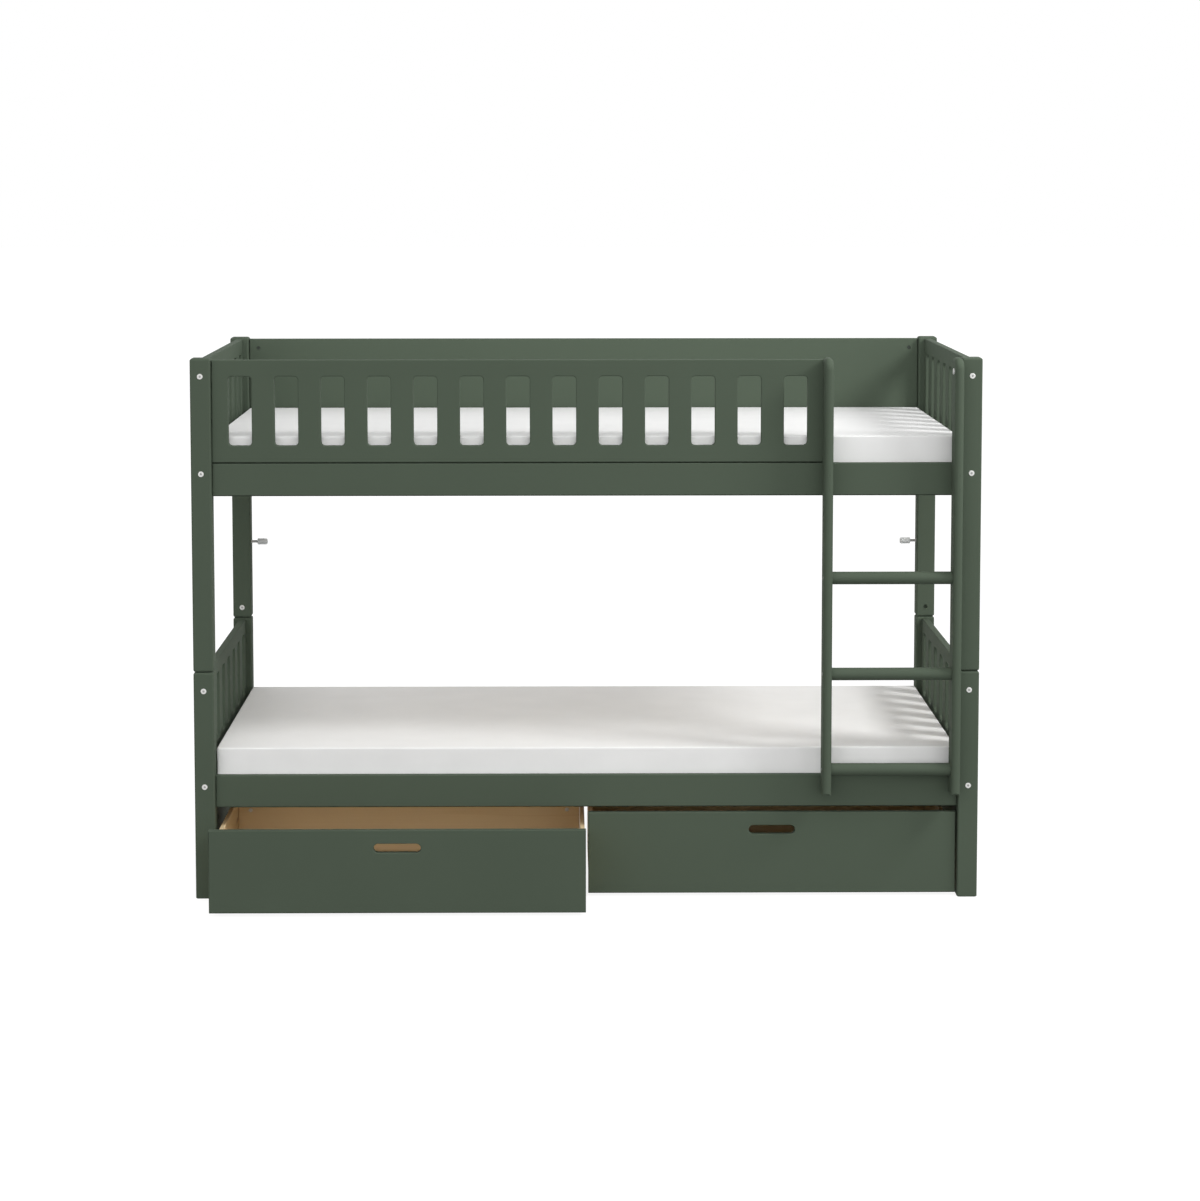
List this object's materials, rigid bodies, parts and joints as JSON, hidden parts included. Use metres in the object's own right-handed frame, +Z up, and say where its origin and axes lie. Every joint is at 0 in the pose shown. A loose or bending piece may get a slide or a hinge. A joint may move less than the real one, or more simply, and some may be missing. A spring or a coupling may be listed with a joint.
{
  "type": "bunk bed with drawers",
  "caption": "Bunk bed for mattresses of 2000 by 900 mm, with slotted guard and end panels, a fixed ladder and drawers that roll out from under the lower bunk.",
  "frame": {"origin": "on the floor, under the middle of the box around the whole bed with its left drawer rolled out", "axes": "+X along the bed towards the ladder, +Y from the open front to the back, +Z up"},
  "size_m": [2.1056, 1.1678, 1.458],
  "materials": {
    "green_paint": "dark grey-green satin paint on solid wood",
    "pine": "oiled pine with knots",
    "plywood": "sanded plywood",
    "mattress_cover": "off-white knitted cover",
    "white_plastic": "white caps",
    "clear_plastic": "milky translucent sleeve",
    "steel": "zinc plated",
    "wheel_plastic": "black moulded"
  },
  "bodies": {
    "bed_frame": {"post_lower_front_left": "green_paint", "post_lower_front_right": "green_paint", "post_lower_back_left": "green_paint", "post_lower_back_right": "green_paint", "post_upper_front_left": "green_paint", "post_upper_front_right": "green_paint", "post_upper_back_left": "green_paint", "post_upper_back_right": "green_paint", "end_panel_lower_left": "green_paint", "end_panel_lower_right": "green_paint", "end_panel_upper_left": "green_paint", "end_panel_upper_right": "green_paint", "rail_lower_front": "green_paint", "rail_lower_back": "green_paint", "rail_upper_front": "green_paint", "rail_upper_back": "green_paint", "guard_front": "green_paint", "guard_back": "green_paint", "ledge_lower_front": "pine", "ledge_lower_back": "pine", "ledge_upper_front": "pine", "ledge_upper_back": "pine", "slats_lower": "pine", "slats_upper": "pine", "mattress_lower": "mattress_cover", "mattress_upper": "mattress_cover", "ladder_pole_left": "green_paint", "ladder_pole_right": "green_paint", "ladder_rung_1": "green_paint", "ladder_rung_2": "green_paint", "ladder_rung_3": "green_paint", "spare_bolt_sleeve_left": "clear_plastic", "spare_bolt_sleeve_right": "clear_plastic"},
    "drawer_left": {"drawer_left_front": "green_paint", "drawer_left_side_outer": "pine", "drawer_left_side_inner": "pine", "drawer_left_back": "pine", "drawer_left_bottom": "plywood", "drawer_left_castor_front_inner": "steel", "drawer_left_castor_front_outer": "steel", "drawer_left_castor_back_inner": "steel", "drawer_left_castor_back_outer": "steel"},
    "drawer_left_wheels_front": {"drawer_left_wheel_front_inner": "wheel_plastic", "drawer_left_wheel_front_outer": "wheel_plastic"},
    "drawer_left_wheels_back": {"drawer_left_wheel_back_inner": "wheel_plastic", "drawer_left_wheel_back_outer": "wheel_plastic"},
    "drawer_right": {"drawer_right_front": "green_paint", "drawer_right_side_outer": "pine", "drawer_right_side_inner": "pine", "drawer_right_back": "pine", "drawer_right_bottom": "plywood", "drawer_right_castor_front_inner": "steel", "drawer_right_castor_front_outer": "steel", "drawer_right_castor_back_inner": "steel", "drawer_right_castor_back_outer": "steel"},
    "drawer_right_wheels_front": {"drawer_right_wheel_front_inner": "wheel_plastic", "drawer_right_wheel_front_outer": "wheel_plastic"},
    "drawer_right_wheels_back": {"drawer_right_wheel_back_inner": "wheel_plastic", "drawer_right_wheel_back_outer": "wheel_plastic"}
  },
  "joints": [
    {"name": "drawer_left_roll", "type": "slide", "parent": "bed_frame", "child": "drawer_left", "axis": [0, -1, 0], "range_m": [-0.201, 0.249]},
    {"name": "drawer_left_wheels_front_spin", "type": "hinge", "parent": "drawer_left", "child": "drawer_left_wheels_front", "pos_m": [0, -0.5189, 0.015], "axis": [1, 0, 0], "range_deg": [-770, 955]},
    {"name": "drawer_left_wheels_back_spin", "type": "hinge", "parent": "drawer_left", "child": "drawer_left_wheels_back", "pos_m": [0, -0.1159, 0.015], "axis": [1, 0, 0], "range_deg": [-770, 955]},
    {"name": "drawer_right_roll", "type": "slide", "parent": "bed_frame", "child": "drawer_right", "axis": [0, -1, 0], "range_m": [0, 0.45]},
    {"name": "drawer_right_wheels_front_spin", "type": "hinge", "parent": "drawer_right", "child": "drawer_right_wheels_front", "pos_m": [0, -0.3179, 0.015], "axis": [1, 0, 0], "range_deg": [0, 1720]},
    {"name": "drawer_right_wheels_back_spin", "type": "hinge", "parent": "drawer_right", "child": "drawer_right_wheels_back", "pos_m": [0, 0.0851, 0.015], "axis": [1, 0, 0], "range_deg": [0, 1720]}
  ],
  "couplings": [
    {"joint": "drawer_left_wheels_front_spin", "follows": "drawer_left_roll", "rad_per_m": 66.667},
    {"joint": "drawer_left_wheels_back_spin", "follows": "drawer_left_roll", "rad_per_m": 66.667},
    {"joint": "drawer_right_wheels_front_spin", "follows": "drawer_right_roll", "rad_per_m": 66.667},
    {"joint": "drawer_right_wheels_back_spin", "follows": "drawer_right_roll", "rad_per_m": 66.667}
  ]
}
